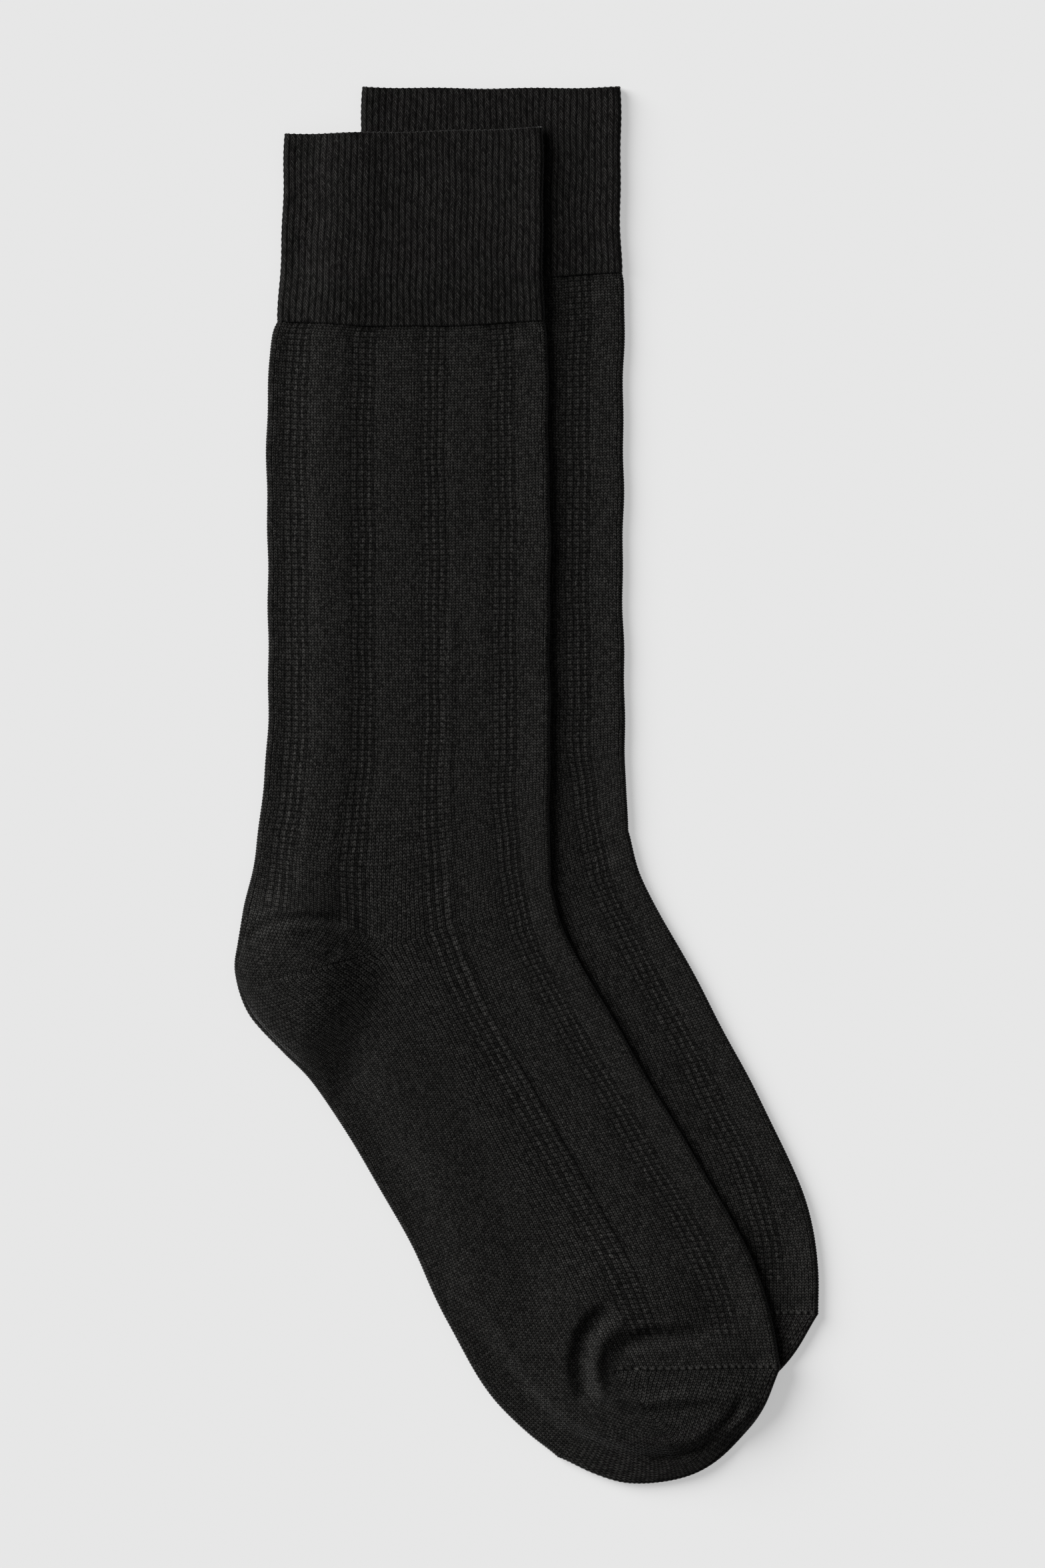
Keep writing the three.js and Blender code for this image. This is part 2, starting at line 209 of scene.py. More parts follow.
@dataclass(frozen=True)
class Fold:
    """A soft ridge or trough of the upper panel, in millimetres.

    Its slopes are as wide as its spread, past a flat part to either side of the route. At the ends of the
    route its height fades in over a length of its own.
    """

    route: tuple
    height: float
    spread: float
    flat: float = 0.0
    fade: float = 0.0

    def height_at(self, points: np.ndarray) -> np.ndarray:
        """Its height at points (n, 2) of the drawing, in millimetres."""
        away, passed, left = nearest_on_route(points, np.array(self.route, float))
        rise = 1 - smooth((away - self.flat) / self.spread)
        if self.fade:
            rise = rise * smooth(np.minimum(passed, left) / self.fade + LEAST_FADED)
        return self.height * rise


HEEL_FOLDS = (
    Fold(((-49.5, 2.0), (-45.0, 6.0), (-38.0, 9.0), (-30.0, 10.0), (-21.0, 9.5), (-14.0, 7.4)), -1.3, 3.2, fade=5.0),
    Fold(((-33.0, 3.8), (-26.0, 3.4), (-18.5, -0.5), (-22.5, -5.4)), -1.0, 3.2, fade=6.0),
    Fold(((-38.0, -7.0), (-42.0, -18.0), (-46.0, -32.0)), 5.6, 23.0, flat=13.0),
    Fold(((2.4, -4.3), (-1.0, -17.8), (-6.8, -32.4), (-14.6, -43.0), (-21.0, -46.5)), -0.35, 8.0, fade=6.0),
)
TOE_FOLDS = (
    Fold(
        ((76.5, -120.2), (69.3, -125.8), (65.7, -131.4), (64.1, -138.2), (64.1, -144.2), (65.7, -150.1), (69.3, -154.6)),
        -2.6,
        5.4,
        fade=9.0,
    ),
    Fold(
        ((84.5, -121.0), (77.0, -126.5), (71.5, -132.5), (69.5, -139.3), (69.8, -144.9), (72.0, -149.4), (77.5, -152.1),
         (87.5, -152.8), (100.0, -151.9), (112.0, -150.5), (119.0, -147.5)),
        1.9,
        4.0,
        fade=30.0,
    ),
    Fold(((109.1, -130.3), (97.9, -131.0), (87.8, -131.0), (79.4, -134.0), (76.8, -139.5), (77.5, -143.3)), -2.3, 4.8,
         fade=16.0),
    Fold(((74.5, -143.7), (79.9, -142.2), (85.4, -141.1)), -0.8, 1.7, fade=3.0),
    Fold(
        ((120.5, -150.0), (115.9, -157.3), (111.4, -162.9), (104.6, -168.5), (95.6, -171.7), (86.0, -171.5)),
        -1.5,
        3.0,
        fade=9.0,
    ),
)
TOE_SWELL = (Fold(((78.0, -128.0), (84.0, -148.0), (100.0, -155.0)), 2.6, 24.0, flat=14.0),)
INSTEP_FOLD = (
    Fold(
        ((20.9, 116.0), (19.8, 80.0), (19.4, 50.0), (21.0, 11.7), (23.6, 0.9), (33.1, -20.2), (44.3, -41.6),
         (53.5, -58.9), (66.1, -82.8), (80.5, -106.4)),
        0.7,
        2.5,
        fade=9.0,
    ),
)
CUFF_PUCKERS = (Fold(((-12.8, 208.4), (-11.5, 200.5)), -0.4, 2.5),)
ANKLE_CREASE = (Fold(((33.0, 12.5), (43.0, 14.0), (52.5, 16.5)), -0.3, 5.0),)


@dataclass(frozen=True)
class Nudge:
    """A soft shift of the cloth about a point of the drawing, in millimetres."""

    middle: tuple
    shift: tuple
    reach: float


BAND_BENDS = (Nudge((16.2, 6.5), (0.9, 0.3), 16.0), Nudge((41.0, 16.4), (0.7, 0.3), 12.0))
ANKLE_BEND = (Nudge((54.0, 21.0), (0.8, 0.2), 15.0),)
TOE_CORNER = (Nudge((56.0, -172.5), (0.3, 0.5), 13.0),)


@dataclass(frozen=True)
class Lie:
    """Where and how a sock lies: its heel pivot, and how it differs from the drawing in the tables."""

    pivot: tuple
    swing: float = 0.0
    bow: float = 0.0
    shortening: float = 0.0
    tilt: float = 1.0
    folds: tuple = ()
    swells: tuple = ()
    swing_start: float = 4.7
    swing_length: float = 157.5
    bow_start: float = 20.0
    bow_length: float = 190.0
    leg_length: float = 274.5

    def place(self, plan: np.ndarray) -> np.ndarray:
        """Moves points of the drawing to where the sock lies.

        Args:
            plan: Points (..., 2) in millimetres from the heel pivot.

        Returns:
            The placed points, in millimetres.
        """
        x, y = plan[..., 0], plan[..., 1]
        drop = np.maximum(0.0, self.swing_start - y) / self.swing_length
        along_bow = np.clip((y - self.bow_start) / self.bow_length, 0.0, 1.0)
        placed_x = x + self.pivot[0] - self.swing * drop**2 - self.bow * np.sin(math.pi * along_bow)
        placed_y = y + self.pivot[1] - self.shortening * np.maximum(0.0, y) / self.leg_length
        return np.stack([placed_x, placed_y], axis=-1)


UPPER = Lie(pivot=(-46.9, -55.1), folds=HEEL_FOLDS + TOE_FOLDS + INSTEP_FOLD + CUFF_PUCKERS, swells=TOE_SWELL)
LOWER = Lie(pivot=(-20.7, -37.1), swing=15.5, bow=1.6, shortening=2.2, tilt=0.0, folds=ANKLE_CREASE)


def spline(points: np.ndarray, rows: np.ndarray) -> np.ndarray:
    """Points on a uniform Catmull-Rom curve.

    Args:
        points: The knots (n, 2), one for each table row.
        rows: How many table rows down each wanted point lies.

    Returns:
        The points (len(rows), 2).
    """
    last = len(points) - 1
    start = np.clip(np.floor(rows).astype(int), 0, last - 1)
    t = (rows - start)[:, None]
    before, a = points[np.maximum(start - 1, 0)], points[start]
    b, after = points[start + 1], points[np.minimum(start + 2, last)]
    slope_a, slope_b = (b - before) / 2, (after - a) / 2
    cubic = (2 * a - 2 * b + slope_a + slope_b) * t**3
    square = (-3 * a + 3 * b - 2 * slope_a - slope_b) * t**2
    return cubic + square + slope_a * t + a


def three_weights(shares: np.ndarray, knots: tuple) -> np.ndarray:
    """Weights (n, 3) of three knots on the parabola through them."""
    a, b, c = knots
    first = (shares - b) * (shares - c) / ((a - b) * (a - c))
    second = (shares - a) * (shares - c) / ((b - a) * (b - c))
    third = (shares - a) * (shares - b) / ((c - a) * (c - b))
    return np.stack([first, second, third], axis=-1)


class Layout:
    """A piece of the sock seen from above: smooth lines run down it through its courses."""

    def __init__(self, courses: list) -> None:
        """Keeps the course tables as one line of knots for each named column."""
        columns = ["back", "side", "pivot"] + (["instep", "front"] if courses[0].front else [])
        self.last = len(courses) - 1
        self.lines = [np.array([getattr(c, name) for c in courses], float) for name in columns]

    def at(self, rows: np.ndarray, shares: np.ndarray) -> np.ndarray:
        """Points (rows, shares, 2) of the drawing, in millimetres from the heel pivot."""
        rows = np.clip(rows, HAIR_ROWS, self.last - HAIR_ROWS)
        lines = np.stack([spline(line, rows) for line in self.lines], axis=1)
        behind = three_weights(shares, (BACK, SIDE, PIVOT))
        plan = np.einsum("sk,rkd->rsd", behind, lines[:, :3])
        if len(self.lines) > 3:
            ahead = np.einsum("sk,rkd->rsd", three_weights(shares, (PIVOT, INSTEP, FRONT)), lines[:, 2:])
            plan = np.where((shares > PIVOT)[None, :, None], ahead, plan)
        return plan

    def lengths(self, shares: np.ndarray, steps: int = 400) -> tuple:
        """How far down the cloth each row lies, averaged over some shares.

        Args:
            shares: The shares at which the length is measured.
            steps: How many short stretches the length is summed over.

        Returns:
            The rows and, for each, its length from the first row in millimetres.
        """
        rows = np.linspace(0.0, self.last, steps)
        stretches = np.linalg.norm(np.diff(self.at(rows, shares), axis=0), axis=-1).mean(axis=1)
        return rows, np.concatenate([[0.0], np.cumsum(stretches)])


def nearest_on_route(points: np.ndarray, route: np.ndarray) -> tuple:
    """How far points (n, 2) lie from a run of straight stretches, and the run's length before and past there."""
    shortest = 1e-9
    nearest, passed = np.full(len(points), np.inf), np.zeros(len(points))
    before = 0.0
    for start, end in zip(route[:-1], route[1:]):
        stretch = end - start
        length = max(float(np.linalg.norm(stretch)), shortest)
        share = np.clip((points - start) @ stretch / length**2, 0.0, 1.0)
        away = np.linalg.norm(points - start - share[:, None] * stretch, axis=1)
        passed = np.where(away < nearest, before + share * length, passed)
        nearest = np.minimum(nearest, away)
        before += length
    return nearest, passed, before - passed


class Sock:
    """The drawing and the lie of one sock."""

    def __init__(self, name: str, lie: Lie) -> None:
        """Lays out the five pieces of the sock."""
        self.name = name
        self.lie = lie
        cuff = [level.bent(lie.tilt) for level in CUFF_LEVELS]
        leg = [level.bent(lie.tilt) for level in LEG_LEVELS]
        self.layouts = {
            "cuff": Layout(cuff),
            "leg": Layout(leg + list(ANKLE_COURSES)),
            "heel": Layout(list(HEEL_COURSES)),
            "foot": Layout(list(FOOT_COURSES)),
            "toe": Layout(list(TOE_COURSES)),
        }

    def outline(self, steps_per_row: int = 6) -> np.ndarray:
        """The closed outline of the sock as it lies, in millimetres."""

        def edge(name: str, share: float) -> np.ndarray:
            layout = self.layouts[name]
            rows = np.arange(layout.last * steps_per_row + 1) / steps_per_row
            return self.lie.place(layout.at(rows, np.array([share]))[:, 0])

        down = np.concatenate([edge(name, BACK) for name in ("cuff", "leg", "heel", "foot", "toe")])
        up = np.concatenate([edge(name, FRONT) for name in ("cuff", "leg", "foot")])[::-1]
        return np.concatenate([down, up, down[:1]])


@dataclass(frozen=True)
class Drape:
    """How the upper sock lies over the lower one, in millimetres."""

    clearance: float = 0.35
    rib_clearance: float = 0.7
    slope_top: float = 4.0
    leg_slope_width: float = 19.0
    toe_slope_width: float = 6.0
    toe_slope_start: float = -165.0
    toe_slope_fade: float = 35.0
    step_below_cuff: float = 16.0
    highest_cuff_overlap: float = 1.5
    grid_step: float = 0.75
    margin: float = 6.0

    def height_map(self, lower: Sock, upper: Sock, knit: Knit) -> "HeightMap":
        """The height at which the upper sock's under panel is carried, over the whole of its outline."""
        outline = lower.outline()
        reach = upper.outline()
        low, high = reach.min(axis=0) - self.margin, reach.max(axis=0) + self.margin
        xs = np.arange(low[0], high[0], self.grid_step)
        ys = np.arange(low[1], high[1], self.grid_step)
        points = np.stack(np.meshgrid(xs, ys, indexing="ij"), axis=-1).reshape(-1, 2)
        depth = nearest_on_route(points, outline)[0] * np.where(inside(points, outline), 1.0, -1.0)
        toeward = smooth((self.toe_slope_start - points[:, 1]) / self.toe_slope_fade)
        slope_width = lerp(self.leg_slope_width, self.toe_slope_width, toeward)
        slope = smooth((depth + self.slope_top + slope_width) / slope_width)
        leg = tube_height(knit.leg_wall, knit.leg_fold_radius, depth * MM, knit) / MM
        cuff = tube_height(knit.cuff_wall, knit.cuff_fold_radius, depth * MM, knit) / MM
        on_leg = leg + knit.band_height / MM + self.clearance
        on_cuff = cuff + knit.rib_height / MM + self.rib_clearance
        cuff_end = lower.lie.pivot[1] + LEG_LEVELS[0].height - lower.lie.shortening - LEG_LEVELS[0].dip
        below = smooth((cuff_end - self.highest_cuff_overlap - points[:, 1]) / self.step_below_cuff)
        heights = lerp(on_cuff, on_leg, below) * slope * MM
        return HeightMap(low, self.grid_step, heights.reshape(len(xs), len(ys)))


def inside(points: np.ndarray, outline: np.ndarray) -> np.ndarray:
    """Whether each point lies inside a closed outline."""
    found = np.zeros(len(points), bool)
    for a, b in zip(outline[:-1], outline[1:]):
        if a[1] == b[1]:
            continue
        crosses = (a[1] > points[:, 1]) != (b[1] > points[:, 1])
        edge = (b[0] - a[0]) * (points[:, 1] - a[1]) / (b[1] - a[1]) + a[0]
        found ^= crosses & (points[:, 0] < edge)
    return found


@dataclass(frozen=True)
class HeightMap:
    """Heights in metres over a regular grid in millimetres."""

    low: np.ndarray
    step: float
    heights: np.ndarray

    def at(self, points: np.ndarray) -> np.ndarray:
        """Heights at points (..., 2), in metres."""
        spot = (points - self.low) / self.step
        top = np.array(self.heights.shape) - 2
        cell = np.clip(np.floor(spot).astype(int), 0, top)
        fx, fy = np.moveaxis(np.clip(spot - cell, 0.0, 1.0), -1, 0)
        i, j = cell[..., 0], cell[..., 1]
        near = lerp(self.heights[i, j], self.heights[i + 1, j], fx)
        far = lerp(self.heights[i, j + 1], self.heights[i + 1, j + 1], fx)
        return lerp(near, far, fy)


def tube_height(wall: float, fold_radius: float, from_fold: np.ndarray, knit: Knit) -> np.ndarray:
    """Height of a flattened tube's upper face, so far in from its nearer fold."""
    flat = 2 * wall + knit.panel_gap
    fuller = 2 * fold_radius - flat
    return flat + fuller * (1 - smooth((from_fold - fold_radius) / knit.fold_reach))


def face_corners(values: np.ndarray, ahead: np.ndarray) -> np.ndarray:
    """Values (n, 4) at the corners of faces that run from one station to the next, down one row."""
    return np.stack([values[:, 0], values[:, 1], ahead[:, 1], ahead[:, 0]], axis=-1)


def build_mesh(name: str, points: np.ndarray, quads: np.ndarray, maps: dict) -> bpy.types.Object:
    """Makes an object of four-sided faces.

    Args:
        name: The object's name.
        points: Corner points (n, 3), in metres.
        quads: Corner indices (m, 4).
        maps: UV maps by name, each with the places (m, 4, 2) of the faces' corners.

    Returns:
        The object, at the origin.
    """
    mesh = bpy.data.meshes.new(name)
    mesh.vertices.add(len(points))
    mesh.vertices.foreach_set("co", points.astype(np.float32).ravel())
    mesh.loops.add(len(quads) * 4)
    mesh.loops.foreach_set("vertex_index", quads.astype(np.int32).ravel())
    mesh.polygons.add(len(quads))
    mesh.polygons.foreach_set("loop_start", np.arange(0, len(quads) * 4, 4, dtype=np.int32))
    for label, places in maps.items():
        layer = mesh.uv_layers.new(name=label)
        layer.data.foreach_set("uv", places.astype(np.float32).ravel())
    mesh.update(calc_edges=True)
    made = bpy.data.objects.new(name, mesh)
    bpy.context.scene.collection.objects.link(made)
    return made


def select_only(piece: bpy.types.Object) -> None:
    """Selects one object and makes it the active one."""
    bpy.ops.object.select_all(action="DESELECT")
    piece.select_set(True)
    bpy.context.view_layer.objects.active = piece


@dataclass
class Stations:
    """The places round a section: a panel's have a share of its width, a fold's a turn in radians."""

    panels: list = field(default_factory=list)
    shares: list = field(default_factory=list)
    turns: list = field(default_factory=list)
    wales: list = field(default_factory=list)

    def add(self, panel: Panel, shares: np.ndarray, turns: np.ndarray, wales: np.ndarray) -> None:
        """Adds a run of stations of one panel or fold."""
        self.panels += [panel] * len(wales)
        self.shares += list(np.broadcast_to(shares, len(wales)))
        self.turns += list(np.broadcast_to(turns, len(wales)))
        self.wales += list(wales)

    def mask(self, *panels: Panel) -> np.ndarray:
        """Which stations belong to some panels."""
        return np.array([panel in panels for panel in self.panels])


@dataclass
class ClothPiece:
    """A piece of one sock: a stretch of its tube, or a pocket that closes only the sole side."""

    name: str
    sock: Sock
    knit: Knit
    height_map: HeightMap
    slot: str = "fine_knit"
    fold_wales: float = 4.36
    fold_steps: int = 12
    inner_every: int = 8
    rows_per_course: float = 2.0
    unevenness: float = 0.035 * MM
    ridge_from_fold: float = 13.0
    pressed_share: float = 0.9
    trough_from_fold: float = 5.0
    waver_reach: float = 0.16
    fold_bumps: float = 0.09 * MM

    def __post_init__(self) -> None:
        """Looks up the drawing of the piece."""
        self.layout = self.sock.layouts[self.name]
        self.stations = self.make_stations()
        self.shares = np.array(self.stations.shares)
        self.wales = np.array(self.stations.wales)

    @property
    def tube(self) -> bool:
        """Whether the piece goes all round the sock."""
        return len(self.layout.lines) > 3

    @property
    def wall(self) -> float:
        """The thickness of the cloth."""
        return self.knit.leg_wall

    @property
    def fold_radius(self) -> float:
        """The outer radius of the rolled side folds."""
        return self.knit.leg_fold_radius

    @property
    def course_height(self) -> float:
        """The height of a course of stitches."""
        return self.knit.course_height

    def columns(self) -> np.ndarray:
        """Shares at which the upper panel has its points."""
        return np.linspace(BESIDE_FOLD, 1 - BESIDE_FOLD, 49)

    def under_columns(self) -> np.ndarray:
        """Shares at which the under panel has its points."""
        return np.linspace(BESIDE_FOLD, 1 - BESIDE_FOLD, 33)

    def make_stations(self) -> Stations:
        """The stations round the piece: over the upper panel, round the front and back by the under one."""
        stations = Stations()
        columns, under = self.columns(), self.under_columns()[::-1]
        start, end = columns[0], columns[-1]
        turns = np.linspace(math.pi / 2, -math.pi / 2, self.fold_steps + 1)
        steps = np.linspace(0.0, self.fold_wales, self.fold_steps + 1)
        wales = self.knit.wales
        if not self.tube:
            below = start * wales - self.fold_wales
            stations.add(Panel.UNDER, under[:-1], 0.0, below - (under[:-1] - start) * wales)
            stations.add(Panel.BACK_FOLD, BACK, turns[::-1], below + steps)
            stations.add(Panel.UPPER, columns[1:], 0.0, columns[1:] * wales)
            return stations
        beyond = end * wales + self.fold_wales
        stations.add(Panel.UPPER, columns[1:-1], 0.0, columns[1:-1] * wales)
        stations.add(Panel.FRONT_FOLD, FRONT, turns, end * wales + steps)
        stations.add(Panel.UNDER, under[1:-1], 0.0, beyond + (end - under[1:-1]) * wales)
        stations.add(Panel.BACK_FOLD, BACK, turns[::-1], beyond + (end - start) * wales + steps)
        return stations

    def rows(self) -> tuple:
        """The table rows at which the piece has sections, and the course at each."""
        rows, lengths = self.layout.lengths(np.array([PIVOT, INSTEP, 0.9]))
        courses = 2 * round(lengths[-1] * MM / self.course_height / 2)
        wanted = np.linspace(0.0, courses, round(courses * self.rows_per_course) + 1)
        return np.interp(wanted * lengths[-1] / courses, lengths, rows), wanted

    def course_marks(self, rows: np.ndarray, courses: np.ndarray) -> tuple:
        """The course at the top and at the bottom of the faces below each row, at each station."""
        marks = np.tile(courses[:, None], (1, len(self.shares)))
        return marks[:-1], marks[1:]

    def relief(self, courses: np.ndarray) -> np.ndarray:
        """Height knitted into the cloth at each row and station, from the course at each row."""
        return np.zeros((len(courses), len(self.shares)))

    def thinning(self, courses: np.ndarray) -> np.ndarray:
        """How much each face draws back where the cloth's edge is rounded, at each row."""
        return np.zeros(len(courses))

    def edge_shift(self, courses: np.ndarray) -> np.ndarray:
        """How far the cloth's edge stands up beyond its course, in millimetres."""
        return np.zeros((len(courses), len(self.shares)))

    def soft_shape(self, plan: np.ndarray, from_fold: np.ndarray) -> np.ndarray:
        """Height that soft folds add to the upper panel.

        Args:
            plan: Points of the drawing (rows, stations, 2), in millimetres.
            from_fold: How far each is from the nearest side fold, in millimetres.

        Returns:
            The height at each point, in metres.
        """
        flat = plan.reshape(-1, 2)
        x, y = flat.T
        height = self.unevenness * (np.sin(x / 5.3 + y / 11.0) + np.sin(y / 6.1 - x / 14.0 + 2.0))
        height = height * smooth(from_fold / self.trough_from_fold).ravel()
        ridges, troughs = np.zeros(len(flat)), np.zeros(len(flat))
        for fold in self.sock.lie.folds:
            made = fold.height_at(flat) * MM
            ridges, troughs = np.maximum(ridges, made), np.minimum(troughs, made)
        for swell in self.sock.lie.swells:
            ridges += swell.height_at(flat) * MM
        ridges = ridges * np.sin(math.pi / 2 * np.clip(from_fold / self.ridge_from_fold, 0.0, 1.0)).ravel()
        troughs = troughs * smooth(from_fold / self.trough_from_fold).ravel()
        lowest = -self.pressed_share * self.knit.panel_gap
        return np.maximum(height + ridges + troughs, lowest).reshape(plan.shape[:-1])

    def warp(self, plan: np.ndarray) -> np.ndarray:
        """Small shifts of the drawing: rounded bends, and edges that waver a little."""
        x, y = plan[..., 0], plan[..., 1]
        shift = np.stack([np.sin(y / 4.1 + x / 9.0) + np.sin(y / 9.7), np.sin(x / 5.0 + y / 17.0)], axis=-1)
        shift *= self.waver_reach
        for nudge in BAND_BENDS + ANKLE_BEND + TOE_CORNER:
            away = np.linalg.norm(plan - nudge.middle, axis=-1) / nudge.reach
            shift += (1 - smooth(away))[..., None] * np.array(nudge.shift)
        return plan + shift

    def faces_of_wall(self, rows: np.ndarray, courses: np.ndarray) -> list:
        """The outer and inner faces of the cloth.

        Args:
            rows: The table rows of the sections.
            courses: The course at each section.

        Returns:
            Outer and inner points, each (rows, stations, 3), in metres.
        """
        turns = np.array(self.stations.turns)
        plan = self.warp(self.layout.at(rows, self.shares))
        plan[..., 1] += self.edge_shift(courses)
        back = self.warp(self.layout.at(rows, np.array([BACK, BESIDE_FOLD])))
        from_fold = np.linalg.norm(plan - back[:, :1], axis=-1)
        inwards = np.repeat((back[:, 1] - back[:, 0])[:, None], len(self.shares), axis=1)
        if self.tube:
            front = self.warp(self.layout.at(rows, np.array([FRONT, 1 - BESIDE_FOLD])))
            from_fold = np.minimum(from_fold, np.linalg.norm(plan - front[:, :1], axis=-1))
            at_front = self.stations.mask(Panel.FRONT_FOLD)
            inwards[:, at_front] = (front[:, 1] - front[:, 0])[:, None]
        inwards /= np.linalg.norm(inwards, axis=-1, keepdims=True)
        thin = self.thinning(courses)[:, None]
        thin_share = np.minimum(thin[:, 0] / self.fold_bumps, 1.0)
        height = self.relief(courses)
        soft = self.soft_shape(plan, from_fold)
        face = tube_height(self.wall, self.fold_radius, from_fold * MM, self.knit) + soft
        on_upper = self.stations.mask(Panel.UPPER)
        on_fold = self.stations.mask(Panel.FRONT_FOLD, Panel.BACK_FOLD)
        bumps = self.fold_bumps * np.cos(math.pi * self.rows_per_course * courses) * (1 - thin_share)
        height = height + np.where(on_fold, bumps[:, None], 0.0)
        outer_z = np.where(on_upper, face + height - thin, height.max() - height + thin)
        inner_z = np.where(on_upper, face - self.wall + thin, self.wall - thin)
        outer_radius = self.fold_radius + height - thin
        inner_radius = self.fold_radius - self.wall + thin + 0 * height
        faces = []
        for z, radius in ((outer_z, outer_radius), (inner_z, inner_radius)):
            reach = (self.fold_radius - radius * np.cos(turns)) / MM
            z = np.where(on_fold, self.fold_radius + radius * np.sin(turns), z)
            spot = plan + np.where(on_fold, reach, 0.0)[..., None] * inwards
            placed = self.sock.lie.place(spot)
            carried = self.height_map.at(placed) if self.height_map else 0.0
            faces.append(np.concatenate([placed * MM, (np.maximum(z, 0.0) + carried)[..., None]], axis=-1))
        return faces

    def build(self, middle: np.ndarray) -> bpy.types.Object:
        """Makes the piece as one closed wall.

        Args:
            middle: The middle of the pair as it is drawn, in metres, which goes to the origin.

        Returns:
            The object, at the origin, with its place in its mesh.
        """
        rows, courses = self.rows()
        outer, inner = self.faces_of_wall(rows, courses)
        kept = self.inner_rows(len(rows))
        width = len(self.shares)
        outer_index = np.arange(len(rows) * width).reshape(len(rows), width)
        inner_index = outer_index.size + np.arange(len(kept) * width).reshape(len(kept), width)
        top, bottom = self.course_marks(rows, courses)
        wall = Wall(self.tube, self.wales, self.shares, self.round_wales())
        wall.add_face(outer_index, top, bottom)
        wall.add_face(inner_index, top[kept[:-1]], bottom[kept[1:] - 1], turned=True)
        wall.add_rim(outer_index[0], inner_index[0], top[0])
        wall.add_rim(inner_index[-1], outer_index[-1], bottom[-1])
        if not self.tube:
            wall.add_side(outer_index[:, 0], inner_index[:, 0], 0, top, bottom)
            wall.add_side(inner_index[:, -1], outer_index[:, -1], -1, top, bottom)
        points = np.concatenate([outer.reshape(-1, 3), inner[kept].reshape(-1, 3)])
        points[:, :2] -= middle
        name = f"{self.sock.name}_{self.name}_knit"
        return build_mesh(name, points, np.concatenate(wall.quads), wall.maps())

    def round_wales(self) -> float:
        """How many columns of stitches go round the tube."""
        columns = self.columns()
        return 2 * ((columns[-1] - columns[0]) * self.knit.wales + self.fold_wales)

    def inner_rows(self, count: int) -> np.ndarray:
        """Which rows the inner face keeps: a few of a tube's, and all of a pocket's, whose sides are open."""
        if not self.tube:
            return np.arange(count)
        return np.unique(np.append(np.arange(0, count, self.inner_every), count - 1))


class Wall:
    """The faces of a piece as they are put together, with the stitch and the place at each corner."""

    def __init__(self, tube: bool, wales: np.ndarray, shares: np.ndarray, round_wales: float) -> None:
        """Notes the wale and the share at the two sides of each column of faces."""
        self.tube = tube
        self.wales = np.stack([wales, np.roll(wales, -1)], axis=-1)
        self.shares = np.stack([shares, np.roll(shares, -1)], axis=-1)
        self.wales[-1, 1] += round_wales
        self.quads, self.stitches, self.places = [], [], []

    def add(self, quads: np.ndarray, wales: np.ndarray, shares: np.ndarray, courses: np.ndarray) -> None:
        """Adds faces with the wale, the share and the course (n, 4) at their corners."""
        self.quads.append(quads.reshape(-1, 4))
        self.stitches.append(np.stack([wales, courses], axis=-1).reshape(-1, 4, 2))
        self.places.append(np.stack([shares, courses], axis=-1).reshape(-1, 4, 2))

    def add_face(self, index: np.ndarray, top: np.ndarray, bottom: np.ndarray, turned: bool = False) -> None:
        """Adds a face of the cloth, from the course at the top and the bottom of each row of faces."""
        ahead, top_ahead, bottom_ahead = (np.roll(values, -1, axis=1) for values in (index, top, bottom))
        count = index.shape[1] if self.tube else index.shape[1] - 1
        quads = np.stack([index[:-1], index[1:], ahead[1:], ahead[:-1]], axis=-1)[:, :count]
        courses = np.stack([top, bottom, bottom_ahead, top_ahead], axis=-1)[:, :count]
        sides = [0, 0, 1, 1]
        order = slice(None, None, -1) if turned else slice(None)
        wales = np.broadcast_to(self.wales[:count, sides], courses.shape)
        shares = np.broadcast_to(self.shares[:count, sides], courses.shape)
        self.add(quads[..., order], wales[..., order], shares[..., order], courses[..., order])

    def add_rim(self, near: np.ndarray, far: np.ndarray, course: np.ndarray) -> None:
        """Adds the faces that join the wall's two faces along a course."""
        count = len(near) if self.tube else len(near) - 1
        quads = np.stack([near, np.roll(near, -1), np.roll(far, -1), far], axis=-1)[:count]
        ahead = np.roll(course, -1)
        courses = np.stack([course, ahead, ahead, course], axis=-1)[:count]
        sides = [0, 1, 1, 0]
        self.add(quads, self.wales[:count, sides], self.shares[:count, sides], courses)

    def add_side(self, near: np.ndarray, far: np.ndarray, column: int, top: np.ndarray, bottom: np.ndarray) -> None:
        """Adds the faces that join the wall's two faces along a pocket's open side."""
        quads = np.stack([near[1:], near[:-1], far[:-1], far[1:]], axis=-1)
        courses = np.stack([bottom, top, top, bottom], axis=-1)[:, column]
        level = np.ones_like(courses)
        self.add(quads, level * self.wales[column, 0], level * self.shares[column, 0], courses)

    def maps(self) -> dict:
        """The UV maps: knit holds wale and course, place holds share and course."""
        return {"knit": np.concatenate(self.stitches), "place": np.concatenate(self.places)}


